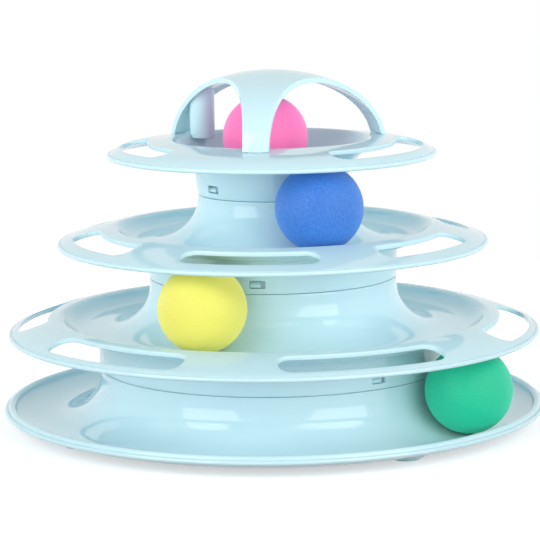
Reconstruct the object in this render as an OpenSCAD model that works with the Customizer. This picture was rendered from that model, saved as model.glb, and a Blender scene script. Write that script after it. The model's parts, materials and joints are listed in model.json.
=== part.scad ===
// Three-level ball track toy: a dished base and three stacked ring trays on a hollow tower,
// with a captive ball in each track, a fourth ball in the top bowl and a three-armed dome over it.
// The tower's axis is Z, the ground is z = 0 and azimuths count from -Y towards +X.

/* [Balls] */
// Diameter of the play balls
ball_d = 40; // [36:0.5:44]
// Gap between a ball and the floor it lies on
ball_gap = 0.3; // [0.2:0.1:0.8]
// Gap between a ball's side and the foot of the flare beside it
ball_side_gap = 0.4; // [0.3:0.1:1.5]
// Azimuth of the ball in the base track
base_ball_az = 57.7; // [-180:0.1:180]
// Azimuth of the ball in the lower tray
lower_ball_az = -23.3; // [-180:0.1:180]
// Azimuth of the ball in the middle tray
middle_ball_az = 22; // [-180:0.1:180]
// Azimuth of the ball in the bowl
bowl_ball_az = -145; // [-180:1:180]
// How far from the axis the ball in the bowl lies
bowl_ball_r = 4.9; // [3:0.1:6]

/* [Walls and fits] */
// Thickness of every moulded wall
wall = 2; // [1.6:0.1:2.4]
// Thickness of the necks that plug into the collars
neck_wall = 1.8; // [1.4:0.1:2.4]
// Radial gap between a neck and the collar round it
neck_gap = 0.2; // [0.1:0.05:0.4]
// Bevel on both edges of each seam
seam_bevel = 0.3; // [0.2:0.05:0.6]
// Gap between the dome's feet and the rim they stand on
dome_gap = 0.2; // [0.1:0.05:0.3]

/* [Tower] */
// How much further apart two track floors are than the ball is tall
level_room = 1.65; // [1.2:0.05:4]
// How much wider a hub's flare is than the ball's radius
flare_room = 2; // [1.5:0.1:5]
// Straight height of the base hub between its flare and its seam
base_hub_rise = 3.4; // [2:0.1:6]
// Straight height of the lower tray's hub
lower_hub_rise = 3.8; // [2:0.1:6]
// Straight height of the middle tray's hub
middle_hub_rise = 0.9; // [0.6:0.1:3]
// How far each neck stands below the floor over it
neck_shortfall = 3.4; // [2:0.1:5]
// How far the bowl's underside lies above the seam under it
bowl_lift = 3.3; // [2.5:0.1:6]
// How far each collar widens towards its top
collar_draft = 0.4; // [0:0.1:1]
// How far the top tray's collar widens towards its top
top_collar_draft = 1.7; // [0.5:0.1:3]

/* [Rims] */
// Depth of the lower and middle trays from crest to floor
tray_depth = 5.75; // [4:0.25:8]
// Depth of the top bowl from crest to floor
bowl_depth = 20.5; // [18:0.5:24]
// Radius of the hollow between a track's floor and its outer wall
fillet_r = 12; // [10:0.5:16]
// Radius of the bowl's hollow side
bowl_side_r = 44.5; // [38:0.5:50]
// Radius of each crest's rounding
crest_r = 4; // [3:0.1:5]
// Radius of the top bowl's crest
bowl_crest = 47.5; // [44:0.5:52]
// How far the middle track's ball path lies outside the bowl's crest
middle_step = 8.8; // [6:0.1:14]
// How far the lower track's ball path lies outside the middle tray's crest
lower_step = 4.8; // [3:0.1:10]
// How far the base track's ball path lies outside the lower tray's crest
base_step = 2.5; // [2:0.1:8]
// Flat floor outside the ball path in the middle tray
middle_floor_out = 6.4; // [4:0.1:10]
// Flat floor outside the ball path in the lower tray
lower_floor_out = 9.4; // [6:0.1:14]
// Width of the top tray's brim from crest to lip
top_brim_w = 29.8; // [28:0.2:34]
// Width of the middle tray's brim
middle_brim_w = 26.2; // [24:0.2:32]
// Width of the lower tray's brim
lower_brim_w = 23.4; // [21:0.2:30]
// Fall of the top tray's brim from crest to lip
top_brim_drop = 7.15; // [6:0.05:9]
// Fall of the middle and lower trays' brims
tray_brim_drop = 7.8; // [6.5:0.05:10]
// Radius of the bead along each lip
bead_r = 1.1; // [0.8:0.05:1.3]
// Height of the fine step between brim and bead
lip_step = 0.3; // [0.1:0.05:0.6]

/* [Slots] */
// Number of slots in the lower and middle trays
slot_count = 6; // [4:1:7]
// Half the sweep of each lower slot, in degrees
lower_slot_half = 19.6; // [10:0.1:22]
// Half the sweep of each middle slot
middle_slot_half = 20.5; // [10:0.5:22]
// Half the sweep of the top tray's right slot
right_slot_half = 38; // [30:0.5:44]
// Half the sweep of the top tray's left slot
left_slot_half = 29; // [24:0.5:40]
// Azimuth of one lower slot's middle
lower_slot_az = 20.3; // [-60:0.1:60]
// Azimuth of one middle slot's middle
middle_slot_az = -7; // [-60:0.5:60]
// Azimuth of the right top slot's middle
right_slot_az = 62; // [50:0.5:80]
// Azimuth of the left top slot's middle
left_slot_az = -75; // [-90:0.5:-60]
// Width of each lower slot
lower_slot_w = 13.8; // [10:0.1:15]
// Width of each middle slot
middle_slot_w = 12.9; // [10:0.1:15]
// Width of each top slot
top_slot_w = 12.9; // [9:0.1:14]
// Brim left outside each lower slot
lower_slot_margin = 4.6; // [3.5:0.1:6]
// Brim left outside each middle slot
middle_slot_margin = 7.4; // [5:0.1:9]
// Brim left outside each top slot
top_slot_margin = 6.4; // [5:0.1:8]

/* [Latches] */
// Number of latches round each seam
latch_count = 3; // [2:1:4]
// Width of a latch window
window_w = 7.2; // [5:0.1:9]
// Height of a latch window
window_h = 3.4; // [2.5:0.1:4]
// Height of a window above its seam
window_up = 2.6; // [2:0.1:3.4]
// Width of a latch hook
hook_w = 4.8; // [3:0.1:6]
// Gap between a hook and its window's edges
hook_gap = 0.3; // [0.2:0.05:0.5]
// How far a hook's face lies inside the collar's face
hook_inset = 0.3; // [0.1:0.05:0.6]
// Azimuth of one latch on the base hub
base_latch_az = 34.7; // [-60:0.1:60]
// Azimuth of one latch on the lower tray's hub
lower_latch_az = -7.1; // [-60:0.1:60]
// Azimuth of one latch on the middle tray's hub
middle_latch_az = -51; // [-60:0.1:60]

/* [Base dish] */
// Width of the base dish from its hub to its rim's inner edge
base_dish_w = 40; // [37:0.2:46]
// Height of the base rim's top above the base floor
base_rim_h = 6.9; // [5.5:0.1:9]
// Width of the rolled base rim
base_rim_w = 5.2; // [4.5:0.1:8]
// Radius of the base rim's crest
base_crest_r = 1.8; // [1.5:0.1:2.2]
// Fall of the base rim from its crest to its bead's middle
base_rim_drop = 2.7; // [2:0.1:3.5]
// Height of the fine step between the base rim's crest and its bead
base_lip_step = 0.45; // [0.2:0.05:0.8]

/* [Feet] */
// Diameter of a foot pad
foot_d = 13; // [10:0.5:15]
// Thickness of a foot pad
foot_h = 2; // [1.6:0.1:3]
// Depth of the recess that holds a foot pad
foot_recess = 0.7; // [0.4:0.1:1]
// Gap round a foot pad in its recess
foot_gap = 0.2; // [0.1:0.05:0.5]
// Width of the moulded ring round a foot pad's recess
foot_ring = 1.5; // [1:0.1:2]
// How far the foot pads' circle lies inside the rim's inner edge
foot_in = 16.5; // [11:0.5:18]
// Azimuth of one foot pad
foot_az = 33; // [0:1:90]

/* [Dome] */
// Radius of the dome at its widest
dome_r = 57; // [55:0.5:60]
// Height of the dome's top above its centre
dome_h = 37.3; // [32:0.5:44]
// How far the dome's centre lies below the bowl's crest
dome_sink = 5.5; // [4:0.1:7]
// Thickness of the dome
dome_wall = 2.2; // [1.8:0.1:3]
// Distance of each arch's edge from the axis at its nearest
arch_near = 22.6; // [18:0.1:26]
// Radius of each arch's edge in plan
arch_r = 105; // [95:1:120]
// Azimuth of one arm
arm_az = -7.5; // [-60:0.5:60]
// Width of the tab under each of the dome's feet
tab_w = 6; // [4:0.1:8]
// Thickness of each tab
tab_t = 1.6; // [1.2:0.1:2]
// How far each tab reaches below the rim that it passes through
tab_drop = 1.5; // [0.5:0.1:3]
// Gap round each tab in its slit
tab_gap = 0.2; // [0.1:0.05:0.4]
// Diameter of the post under the rear left arm
post_d = 12; // [10:0.1:13]
// Distance of the post from the axis
post_r = 41.5; // [36:0.5:43]
// How far the post's end lies below the bowl's crest
post_drop = 2.2; // [0:0.1:4]
// Gap between the post's end and the bowl
post_gap = 0.5; // [0.3:0.1:1]

/* [Hidden] */
$fn = 96;
body_color = "#CFEAF1";
pad_color = "#BFDCE6";

// Number of foot pads, each a node of its own
foot_count = 4;

// Segments in a full-length curve and in a short one
long_steps = 10;
short_steps = 5;
// Overrun of every cutter past the face it leaves
overrun = 1;

// Heights of the four levels, the crests and the seams
pitch = ball_d + level_room;
flare_w = ball_d / 2 + flare_room;
flare_h = ball_d / 2;
base_under_z = foot_h - foot_recess;
base_floor_z = base_under_z + wall;
lower_floor_z = base_floor_z + pitch;
middle_floor_z = lower_floor_z + pitch;
base_seam_z = base_floor_z + flare_h + base_hub_rise;
lower_seam_z = lower_floor_z + flare_h + lower_hub_rise;
middle_seam_z = middle_floor_z + flare_h + middle_hub_rise;
bowl_floor_z = middle_seam_z + bowl_lift + wall;
bowl_crest_z = bowl_floor_z + bowl_depth;

// Radii, worked outwards from the bowl: each ball path lies a step outside the crest above it,
// each hub a flare's width inside the path, and each crest a floor's width outside it
middle_path_r = bowl_crest + middle_step;
middle_hub_r = middle_path_r + ball_side_gap - flare_w;
middle_crest = middle_path_r + middle_floor_out + side_run(fillet_r, tray_depth);
lower_path_r = middle_crest + lower_step;
lower_hub_r = lower_path_r + ball_side_gap - flare_w;
lower_crest = lower_path_r + lower_floor_out + side_run(fillet_r, tray_depth);
base_path_r = lower_crest + base_step;
base_hub_r = base_path_r + ball_side_gap - flare_w;
base_rim_in_r = base_hub_r + base_dish_w;
base_rim_r = base_rim_in_r + base_rim_w;
top_lip_r = bowl_crest + top_brim_w;
middle_lip_r = middle_crest + middle_brim_w;
lower_lip_r = lower_crest + lower_brim_w;

// Slope of each brim where it leaves the crest, in degrees, and how much of it is straight
lower_brim_slope = 8;
middle_brim_slope = 10;
top_brim_slope = 6;
tray_straight_share = 0.05;
top_straight_share = 0.58;
// Where the brim meets the bead, as an angle round the bead's centre
bead_meet = 120;

// How steeply a wall climbs where its hollow turns into its crest
function side_angle(side_r, depth) = acos(1 - depth / (side_r + crest_r));
// How far a wall runs from the floor's edge to the crest
function side_run(side_r, depth) = (side_r + crest_r) * sin(side_angle(side_r, depth));
// Points along an ellipse about c, from angle a0 to a1
function curve(c, rx, rz, a0, a1, steps) =
    [for (i = [0:steps]) let (a = a0 + (a1 - a0) * i / steps) [c[0] + rx * cos(a), c[1] + rz * sin(a)]];
function backwards(points) = [for (i = [len(points) - 1:-1:0]) points[i]];
// A direction in plan, and a point at a radius and azimuth
function plan(az) = [sin(az), -cos(az)];

// The upper or lower skin of a tray's wall, crest and brim, from the floor's edge outwards.
// inset is 0 for the upper skin and the wall's thickness for the lower one
function rim(crest, crest_z, side_r, depth, lip, drop, slope, straight, inset) =
    let (angle = side_angle(side_r, depth),
         run = side_run(side_r, depth),
         foot_c = [crest - run, crest_z - depth + side_r],
         top_c = [crest, crest_z - crest_r],
         start = top_c + crest_r * [sin(slope), cos(slope)],
         end = [lip - bead_r + bead_r * cos(bead_meet), crest_z - drop + bead_r * sin(bead_meet) + lip_step],
         knee = start + straight * (end[0] - start[0]) * [1, -tan(slope)],
         chord = end - knee,
         fall = atan2(-chord[1], chord[0]),
         last = 2 * fall - slope,
         bend_r = norm(chord) / (2 * sin((last - slope) / 2)),
         bend_c = knee - bend_r * [sin(slope), cos(slope)])
    concat(curve(foot_c, side_r + inset, side_r + inset, -90, angle - 90, long_steps),
           curve(top_c, crest_r - inset, crest_r - inset, 90 + angle, 90 - slope, short_steps),
           curve(bend_c, bend_r - inset, bend_r - inset, 90 - slope, 90 - last, long_steps));

// The bead along a lip, from its top round to its underside
function bead(lip, mid_z) = curve([lip - bead_r, mid_z], bead_r, bead_r, bead_meet, -bead_meet, long_steps);

// A hub's outside from its neck's top down to the floor at the flare's foot
function hub_outside(hub_r, floor_z, seam_z, neck_top) =
    let (neck_r = hub_r - wall - neck_gap)
    concat([[neck_r - neck_wall, neck_top], [neck_r - seam_bevel, neck_top],
            [neck_r, neck_top - seam_bevel], [neck_r, seam_z],
            [hub_r - seam_bevel, seam_z], [hub_r, seam_z - seam_bevel]],
           curve([hub_r + flare_w, floor_z + flare_h], flare_w, flare_h, 180, 270, long_steps));

// A hub's inside from the floor's underside up to the inside of its neck
function hub_inside(hub_r, floor_z, seam_z) =
    let (rise = seam_z - floor_z - flare_h,
         turn = asin(max(0, 2 * wall - rise) / (flare_h + wall)))
    concat(curve([hub_r + flare_w, floor_z + flare_h], flare_w + wall, flare_h + wall, 270, 180 + turn, long_steps),
           rise > 2 * wall ? [[hub_r - wall, seam_z - 2 * wall]] : [],
           [[hub_r - wall - neck_gap - neck_wall, seam_z - wall / 2]]);

// A collar's section, from inside the tray's floor at top_z down to the seam
function collar(hub_r, seam_z, top_z, draft) =
    [[hub_r + draft, top_z], [hub_r, seam_z + seam_bevel], [hub_r - seam_bevel, seam_z],
     [hub_r - wall, seam_z], [hub_r - wall + draft, top_z]];

// A slot's outline in plan, centred on azimuth 0, with fully rounded ends
function slot_half(r_in, r_out, half, round_r, side) =
    let (turn_in = asin(round_r / (r_in + round_r)),
         turn_out = asin(round_r / (r_out - round_r)),
         out_c = (r_out - round_r) * plan(half - turn_out),
         in_c = (r_in + round_r) * plan(half - turn_in),
         points = concat([for (i = [0:long_steps]) r_out * plan((half - turn_out) * i / long_steps)],
                         [for (i = [1:short_steps])
                             out_c + round_r * plan(half - turn_out + (90 + turn_out) * i / short_steps)],
                         [for (i = [1:short_steps])
                             in_c + round_r * plan(half + 90 + (90 - turn_in) * i / short_steps)],
                         [for (i = [1:long_steps]) r_in * plan((half - turn_in) * (1 - i / long_steps))]))
    [for (p = points) [side * p[0], p[1]]];

function slot_outline(r_in, r_out, half, round_r) =
    let (right = slot_half(r_in, r_out, half, round_r, 1),
         left = backwards(slot_half(r_in, r_out, half, round_r, -1)))
    concat(right, [for (i = [1:len(left) - 2]) left[i]]);

// Cutters for the slots in one brim; ends_share rounds their ends
module slots(count, first_az, half, r_out, width, z_low, z_high) {
    ends_share = 0.46;
    for (i = [0:count - 1])
        rotate([0, 0, first_az + 360 * i / count])
            translate([0, 0, z_low])
                linear_extrude(z_high - z_low)
                    polygon(slot_outline(r_out - width, r_out, half, width * ends_share));
}

// Cutters for the latch windows in a collar
module windows(hub_r, seam_z, first_az, draft) {
    for (i = [0:latch_count - 1])
        rotate([0, 0, first_az + 360 * i / latch_count])
            translate([-window_w / 2, -hub_r - draft - overrun, seam_z + window_up])
                cube([window_w, wall + draft + 2 * overrun, window_h]);
}

// Sprung hooks on a neck, each a ramp that snaps into the left of its window
module hooks(hub_r, seam_z, first_az) {
    neck_r = hub_r - wall - neck_gap;
    low = seam_z + window_up + hook_gap;
    high = seam_z + window_up + window_h - hook_gap;
    root = neck_r - neck_wall / 2;
    for (i = [0:latch_count - 1])
        rotate([0, 0, first_az + 360 * i / latch_count])
            translate([-window_w / 2 + hook_gap, 0, 0])
                rotate([90, 0, 90])
                    linear_extrude(hook_w)
                        polygon([[-root, low], [-hub_r + hook_inset, low],
                                 [-hub_r + hook_inset, (low + high) / 2],
                                 [-neck_r, high], [-root, high]]);
}

// A ring tray: hub, flare, floor, wall, crest, brim and bead in one revolved wall, with the collar
// that hangs from its floor
module ring_tray(hub_r, floor_z, seam_z, neck_top, under_hub_r, under_seam_z, crest, lip, slope) {
    rotate_extrude()
        polygon(concat(
            hub_outside(hub_r, floor_z, seam_z, neck_top),
            rim(crest, floor_z + tray_depth, fillet_r, tray_depth, lip, tray_brim_drop, slope,
                tray_straight_share, 0),
            bead(lip, floor_z + tray_depth - tray_brim_drop),
            backwards(rim(crest, floor_z + tray_depth, fillet_r, tray_depth, lip, tray_brim_drop, slope,
                          tray_straight_share, wall)),
            hub_inside(hub_r, floor_z, seam_z)));
    rotate_extrude()
        polygon(collar(under_hub_r, under_seam_z, floor_z - wall / 2, collar_draft));
}

// Underside of the bowl at a radius on its hollow side
function bowl_under(r) =
    bowl_floor_z + bowl_side_r
    - sqrt(pow(bowl_side_r + wall, 2) - pow(r - bowl_crest + side_run(bowl_side_r, bowl_depth), 2));

// The upper skin of the top tray, from the axis to the lip
function bowl_skin(inset) =
    rim(bowl_crest, bowl_crest_z, bowl_side_r, bowl_depth, top_lip_r, top_brim_drop, top_brim_slope,
        top_straight_share, inset);

// Everything below the top tray's upper skin raised by a gap, for trimming what stands on it
module under_bowl_skin(gap) {
    rotate_extrude()
        polygon(concat([[0, bowl_floor_z - overrun], [0, bowl_floor_z + gap]],
                       [for (p = bowl_skin(0)) p + [0, gap]],
                       [[top_lip_r, bowl_floor_z - overrun]]));
}

// Base: dished track with a narrow crest and a bead under it, the lowest hub and four recesses for
// the foot pads
function base_skin() =
    let (crest_z = base_floor_z + base_rim_h,
         climb = base_rim_h - 1.75 * wall,
         run = base_rim_in_r - wall / 2 - base_hub_r - flare_w,
         dish_r = (run * run + climb * climb) / (2 * climb),
         sweep = asin(run / dish_r),
         dish_c = [base_hub_r + flare_w, base_floor_z + dish_r],
         step_z = bead_r * sin(bead_meet) + base_lip_step - base_rim_drop,
         crest_end = asin((base_crest_r + step_z) / base_crest_r))
    concat(curve(dish_c, dish_r, dish_r, -90, sweep - 90, long_steps),
           curve([base_rim_in_r + base_crest_r, crest_z - base_crest_r], base_crest_r, base_crest_r,
                 180, crest_end, long_steps),
           curve([base_rim_r - bead_r, crest_z - base_rim_drop], bead_r, bead_r, bead_meet, -80,
                 long_steps));

// Underside of the dish, parallel to its floor
function base_belly() =
    let (rim_low_z = base_floor_z + base_rim_h - base_rim_drop - bead_r,
         run = base_rim_r - bead_r - wall / 2 - base_hub_r - flare_w,
         climb = rim_low_z - base_under_z,
         belly_r = (run * run + climb * climb) / (2 * climb))
    curve([base_hub_r + flare_w, base_under_z + belly_r], belly_r, belly_r, asin(run / belly_r) - 90, -90,
          long_steps);

function foot_place(i) = (base_rim_in_r - foot_in) * plan(foot_az + 360 * i / foot_count);

module base_tray() {
    ring_d = foot_d + 2 * foot_gap + 2 * foot_ring;
    ring_h = wall * 0.85;
    color(body_color) {
        difference() {
            union() {
                rotate_extrude()
                    polygon(concat(hub_outside(base_hub_r, base_floor_z, base_seam_z,
                                               lower_floor_z - wall - neck_shortfall),
                                   base_skin(),
                                   base_belly(),
                                   hub_inside(base_hub_r, base_floor_z, base_seam_z)));
                for (i = [0:foot_count - 1])
                    translate([foot_place(i)[0], foot_place(i)[1], base_under_z])
                        cylinder(d = ring_d, h = ring_h);
            }
            for (i = [0:foot_count - 1])
                translate([foot_place(i)[0], foot_place(i)[1], base_under_z - overrun])
                    cylinder(d = foot_d + 2 * foot_gap, h = foot_recess + overrun);
        }
        hooks(base_hub_r, base_seam_z, base_latch_az);
    }
}

module lower_tray() {
    color(body_color) {
        difference() {
            ring_tray(lower_hub_r, lower_floor_z, lower_seam_z, middle_floor_z - wall - neck_shortfall,
                      base_hub_r, base_seam_z, lower_crest, lower_lip_r, lower_brim_slope);
            slots(slot_count, lower_slot_az, lower_slot_half, lower_lip_r - lower_slot_margin, lower_slot_w,
                  lower_floor_z - tray_depth, lower_floor_z + 2 * tray_depth);
            windows(base_hub_r, base_seam_z, base_latch_az, collar_draft);
        }
        hooks(lower_hub_r, lower_seam_z, lower_latch_az);
    }
}

module middle_tray() {
    color(body_color) {
        difference() {
            ring_tray(middle_hub_r, middle_floor_z, middle_seam_z,
                      bowl_under(middle_hub_r - wall - neck_gap - neck_wall) - wall / 2,
                      lower_hub_r, lower_seam_z, middle_crest, middle_lip_r, middle_brim_slope);
            slots(slot_count, middle_slot_az, middle_slot_half, middle_lip_r - middle_slot_margin,
                  middle_slot_w, middle_floor_z - tray_depth, middle_floor_z + 2 * tray_depth);
            windows(lower_hub_r, lower_seam_z, lower_latch_az, collar_draft);
        }
        hooks(middle_hub_r, middle_seam_z, middle_latch_az);
    }
}

// Places of the three arms, and the middle of the dome's wall at the crest's height
arm_turns = [for (i = [0:2]) arm_az + 120 * i];
foot_mid_r = dome_r * sqrt(1 - pow(dome_sink / dome_h, 2)) - dome_wall / 2;

// Flat tabs that hold the dome's feet, or with a gap the slits that they pass through
module tabs(gap) {
    low = bowl_crest_z - 2 * wall - tab_drop;
    for (az = arm_turns)
        rotate([0, 0, az])
            translate([-tab_w / 2 - gap, -foot_mid_r - tab_t / 2 - gap, low - gap])
                cube([tab_w + 2 * gap, tab_t + 2 * gap, bowl_crest_z + wall / 4 - low + 2 * gap]);
}

module top_tray() {
    under = middle_hub_r + top_collar_draft;
    color(body_color)
        difference() {
            rotate_extrude()
                polygon(concat(
                    [[0, bowl_floor_z]],
                    bowl_skin(0),
                    bead(top_lip_r, bowl_crest_z - top_brim_drop),
                    [for (p = backwards(bowl_skin(wall))) if (p[0] > under) p],
                    [[under, bowl_under(under)],
                     [middle_hub_r, middle_seam_z + seam_bevel], [middle_hub_r - seam_bevel, middle_seam_z],
                     [middle_hub_r - wall, middle_seam_z],
                     [under - wall, bowl_under(under - wall)]],
                    [for (p = backwards(bowl_skin(wall))) if (p[0] < under - wall) p],
                    [[0, bowl_floor_z - wall]]));
            for (slot = [[right_slot_az, right_slot_half], [left_slot_az, left_slot_half]])
                slots(1, slot[0], slot[1], top_lip_r - top_slot_margin, top_slot_w,
                      bowl_crest_z - 2 * top_brim_drop, bowl_crest_z + top_brim_drop);
            windows(middle_hub_r, middle_seam_z, middle_latch_az, top_collar_draft);
            tabs(tab_gap);
        }
}

// The dome's solid form, drawn in by an inset on every side
module dome_form(inset, z) {
    rotate_extrude()
        polygon(concat([[0, z]], curve([0, z], dome_r - inset, dome_h - inset, 0, 90, 2 * long_steps)));
}

// Post that hangs from the rear left arm over the bowl's side
module post(dome_z) {
    place = post_r * plan(arm_turns[2]);
    difference() {
        intersection() {
            dome_form(dome_wall / 2, dome_z);
            translate([place[0], place[1], bowl_crest_z - post_drop])
                cylinder(d = post_d, h = dome_h);
        }
        under_bowl_skin(post_gap);
    }
}

module dome_cage() {
    dome_z = bowl_crest_z - dome_sink;
    color(body_color) {
        difference() {
            dome_form(0, dome_z);
            dome_form(dome_wall, dome_z);
            for (az = arm_turns)
                translate([(arch_near + arch_r) * plan(az + 60)[0],
                           (arch_near + arch_r) * plan(az + 60)[1], dome_z - overrun])
                    cylinder(r = arch_r, h = dome_h + 2 * overrun);
            under_bowl_skin(dome_gap);
        }
        post(dome_z);
        tabs(0);
    }
}

module ball(path_r, az, floor_z, tint) {
    place = path_r * plan(az);
    color(tint)
        translate([place[0], place[1], floor_z + ball_gap + ball_d / 2])
            sphere(d = ball_d);
}

module foot_pad(i) {
    edge = foot_recess / 2;
    color(pad_color)
        translate([foot_place(i)[0], foot_place(i)[1], 0])
            rotate_extrude()
                polygon([[0, 0], [foot_d / 2 - edge, 0], [foot_d / 2, edge], [foot_d / 2, foot_h], [0, foot_h]]);
}

base_tray();
lower_tray();
middle_tray();
top_tray();
dome_cage();
ball(base_path_r, base_ball_az, base_floor_z, "#3DBE97");  // ball_green
ball(lower_path_r, lower_ball_az, lower_floor_z, "#EFE96A");  // ball_yellow
ball(middle_path_r, middle_ball_az, middle_floor_z, "#3F7CD8");  // ball_blue
ball(bowl_ball_r, bowl_ball_az, bowl_floor_z, "#F97FBE");  // ball_pink
foot_pad(0);  // foot_pad_front_right
foot_pad(1);  // foot_pad_back_right
foot_pad(2);  // foot_pad_back_left
foot_pad(3);  // foot_pad_front_left
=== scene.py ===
# %% [markdown]
# A ball track toy for a cat: four moulded shells of pale blue plastic stack into a tower, a dome with
# three arms closes the top, and a foam ball rolls in every track. Most of the shells are turned round
# one axis, so this script draws half a section of each shell and spins it. The slots, latch windows
# and foot cups are then opened in the spun skin.
# %% Load the fixed frame
import json
import math

import bmesh
import bpy
from mathutils import Matrix, Quaternion, Vector, noise


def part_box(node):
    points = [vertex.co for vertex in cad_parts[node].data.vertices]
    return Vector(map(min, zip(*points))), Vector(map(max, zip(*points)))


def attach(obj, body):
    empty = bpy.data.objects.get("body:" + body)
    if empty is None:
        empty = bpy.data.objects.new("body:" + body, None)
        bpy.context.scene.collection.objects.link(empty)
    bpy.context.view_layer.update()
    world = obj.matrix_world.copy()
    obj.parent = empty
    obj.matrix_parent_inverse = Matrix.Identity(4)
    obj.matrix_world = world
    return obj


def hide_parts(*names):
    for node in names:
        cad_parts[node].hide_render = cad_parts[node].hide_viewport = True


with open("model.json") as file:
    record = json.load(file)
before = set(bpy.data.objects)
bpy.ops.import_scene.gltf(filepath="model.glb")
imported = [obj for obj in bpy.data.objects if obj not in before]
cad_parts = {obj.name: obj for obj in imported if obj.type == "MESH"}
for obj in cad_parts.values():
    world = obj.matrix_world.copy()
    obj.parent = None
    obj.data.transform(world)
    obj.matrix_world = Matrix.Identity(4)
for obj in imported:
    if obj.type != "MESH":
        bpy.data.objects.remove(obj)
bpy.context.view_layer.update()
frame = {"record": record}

# %% [markdown]
# Sizes. The shells are drawn in millimetres and scaled to metres when they are stored. Heights and
# radii are read from the frame wherever a node's box or a ball's place gives them, and the few that
# a box can't give, such as wall thickness, are named here as the part has them.
# %% Read heights and radii from the frame
MM = 0.001


def low_z(node):
    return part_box(node)[0].z / MM


def high_z(node):
    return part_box(node)[1].z / MM


def reach(node):
    """Outer radius of a round shell that is centred on the axis."""
    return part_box(node)[1].x / MM


def centre(node):
    low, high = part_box(node)
    return (low + high) / 2 / MM


def path_radius(node):
    """How far from the axis a ball's middle lies."""
    return centre(node).to_2d().length


wall = 2.0
neck_wall = 1.8
neck_gap = 0.2
seam_round = 0.3
seam_gap = 0.2
ball_gap = 0.3
ball_side_gap = 0.4
ball_r = (high_z("ball_green") - low_z("ball_green")) / 2
flare_room = 2.0
flare_w = ball_r + flare_room
flare_h = ball_r

base_floor = low_z("ball_green") - ball_gap
lower_floor = low_z("ball_yellow") - ball_gap
middle_floor = low_z("ball_blue") - ball_gap
bowl_floor = low_z("ball_pink") - ball_gap
base_seam = low_z("lower_tray")
lower_seam = low_z("middle_tray")
middle_seam = low_z("top_tray")
bowl_crest_z = high_z("top_tray")

base_path = path_radius("ball_green")
lower_path = path_radius("ball_yellow")
middle_path = path_radius("ball_blue")
base_hub = base_path + ball_side_gap - flare_w
lower_hub = lower_path + ball_side_gap - flare_w
middle_hub = middle_path + ball_side_gap - flare_w
print("hub radii", round(base_hub, 2), round(lower_hub, 2), round(middle_hub, 2))

# %% [markdown]
# A section is a list of points, each a radius and a height. Round stretches are arcs, so that a
# glossy wall has no kinks, and a section remembers which of its rows belong to a stretch that is
# opened later.
# %% Sections
COLUMNS = 240
ROUND_STEPS = 3
BEAD_STEPS = 14
CREST_STEPS = 8
SIDE_STEPS = 8
BOWL_STEPS = 30
DISH_STEPS = 12
FLARE_STEPS = 26
HOLLOW_STEPS = 24


def arc(middle, across, up, start, end, steps):
    """Points on a round or elliptical stretch, from one angle to another in degrees."""
    angles = [math.radians(start + (end - start) * i / steps) for i in range(steps + 1)]
    return [(middle[0] + across * math.cos(a), middle[1] + up * math.sin(a)) for a in angles]


def spread(start, end, steps):
    """Evenly spaced numbers from start to end."""
    return [start + (end - start) * i / steps for i in range(steps + 1)]


class Section:
    """Half of a shell's cross-section, walked once round."""

    def __init__(self):
        self.points = []
        self.rows = {}

    def add(self, points, name=None):
        """Adds points, and keeps the first and last row of the stretch if it has a name."""
        if name:
            self.rows[name] = (len(self.points), len(self.points) + len(points) - 1)
        self.points += points

    def across(self, name, value, axis):
        """The other coordinate of a named stretch at a radius (axis 0) or a height (axis 1)."""
        first, last = self.rows[name]
        run = sorted(self.points[first:last + 1], key=lambda point: point[axis])
        for a, b in zip(run, run[1:]):
            if value <= b[axis] or b is run[-1]:
                share = (value - a[axis]) / (b[axis] - a[axis])
                return a[1 - axis] + share * (b[1 - axis] - a[1 - axis])


# %% [markdown]
# The rim of a tray: a hollow side climbs from the floor, turns over a rounded crest and falls away
# as a brim that bends down to a bead along its lip. Both skins of the wall share their centres, so
# the wall is as thick everywhere as a moulder would make it.
# %% Rims
crest_r = 4.0
bead_r = 1.1
lip_step = 0.3
bead_meet = 120


def side_angle(side_r, depth):
    """How steeply a side climbs where its hollow turns into its crest."""
    return math.acos(1 - depth / (side_r + crest_r))


def side_run(side_r, depth):
    """How far a side runs from the floor's edge to the crest."""
    return (side_r + crest_r) * math.sin(side_angle(side_r, depth))


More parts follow.
